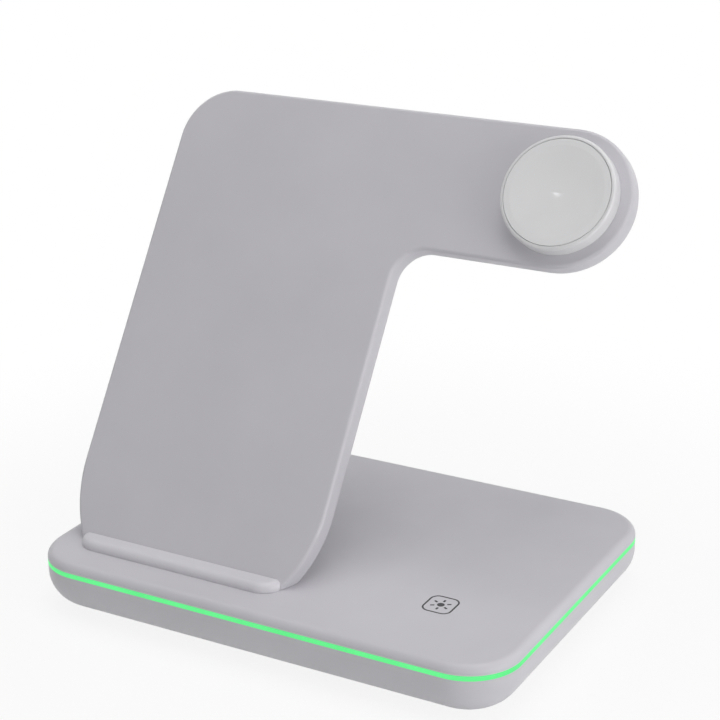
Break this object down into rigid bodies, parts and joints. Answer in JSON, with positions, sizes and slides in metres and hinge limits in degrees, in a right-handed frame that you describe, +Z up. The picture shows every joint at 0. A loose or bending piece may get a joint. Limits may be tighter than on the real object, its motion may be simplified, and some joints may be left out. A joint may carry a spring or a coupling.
{
  "type": "wireless charging station",
  "caption": "Low base with a lit line round it, a tilted upright that holds a phone, a side arm with a round puck for a watch, and room on the deck for an earbuds case.",
  "frame": {"origin": "centre of the base's footprint, on the table", "axes": "+X to the right of someone who faces the front, +Y to the back, +Z up"},
  "size_m": [0.1486, 0.1072, 0.135],
  "materials": {
    "cover": "fine matt moulded plastic",
    "ledge": "fine matt moulded plastic",
    "light_guide": "milky, lit from behind",
    "icon": "dark grey print",
    "feet": "matt rubber",
    "screws": "zinc plated",
    "weight": "plain steel plate",
    "frame": "pressed steel",
    "circuit_board": "solder mask",
    "chips": "moulded",
    "capacitors": "fired",
    "ferrite": "sintered",
    "socket_metal": "plated",
    "strip": "flexible board",
    "lamps": "clear-capped lamps",
    "copper": "stranded enamelled wire",
    "bracket": "moulded",
    "puck": "smooth",
    "puck_face": "polished",
    "magnet": "nickel plated",
    "lead_red": "sleeve",
    "lead_white": "sleeve",
    "lead_yellow": "sleeve",
    "lead_blue": "sleeve"
  },
  "bodies": {
    "root": {"base_top_cover": "cover", "light_guide": "light_guide", "base_bottom_cover": "cover", "phone_ledge": "ledge", "touch_icon": "icon", "rubber_feet": "feet", "base_screws": "screws", "counterweight": "weight", "main_board": "circuit_board", "controller_chips": "chips", "resonance_capacitors": "capacitors", "power_inductor": "ferrite", "board_screws": "screws", "socket_shell": "socket_metal", "socket_tongue": "chips", "light_strip": "strip", "light_strip_lamps": "lamps", "touch_board": "circuit_board", "earbuds_coil": "copper", "earbuds_ferrite": "ferrite", "earbuds_bracket": "bracket", "bracket_screws": "screws", "stand_front_shell": "cover", "stand_rear_cover": "cover", "stand_frame": "frame", "frame_screws": "screws", "shell_screws": "screws", "phone_coils": "copper", "phone_ferrites": "ferrite", "puck_housing": "puck", "puck_face": "puck_face", "puck_magnet": "magnet", "puck_coil": "copper", "puck_ferrite": "ferrite", "puck_screws": "screws", "phone_coil_lead": "lead_red", "watch_coil_lead": "lead_white", "earbuds_coil_lead": "lead_yellow", "touch_lead": "lead_blue", "light_strip_lead": "lead_white"}
  },
  "joints": []
}
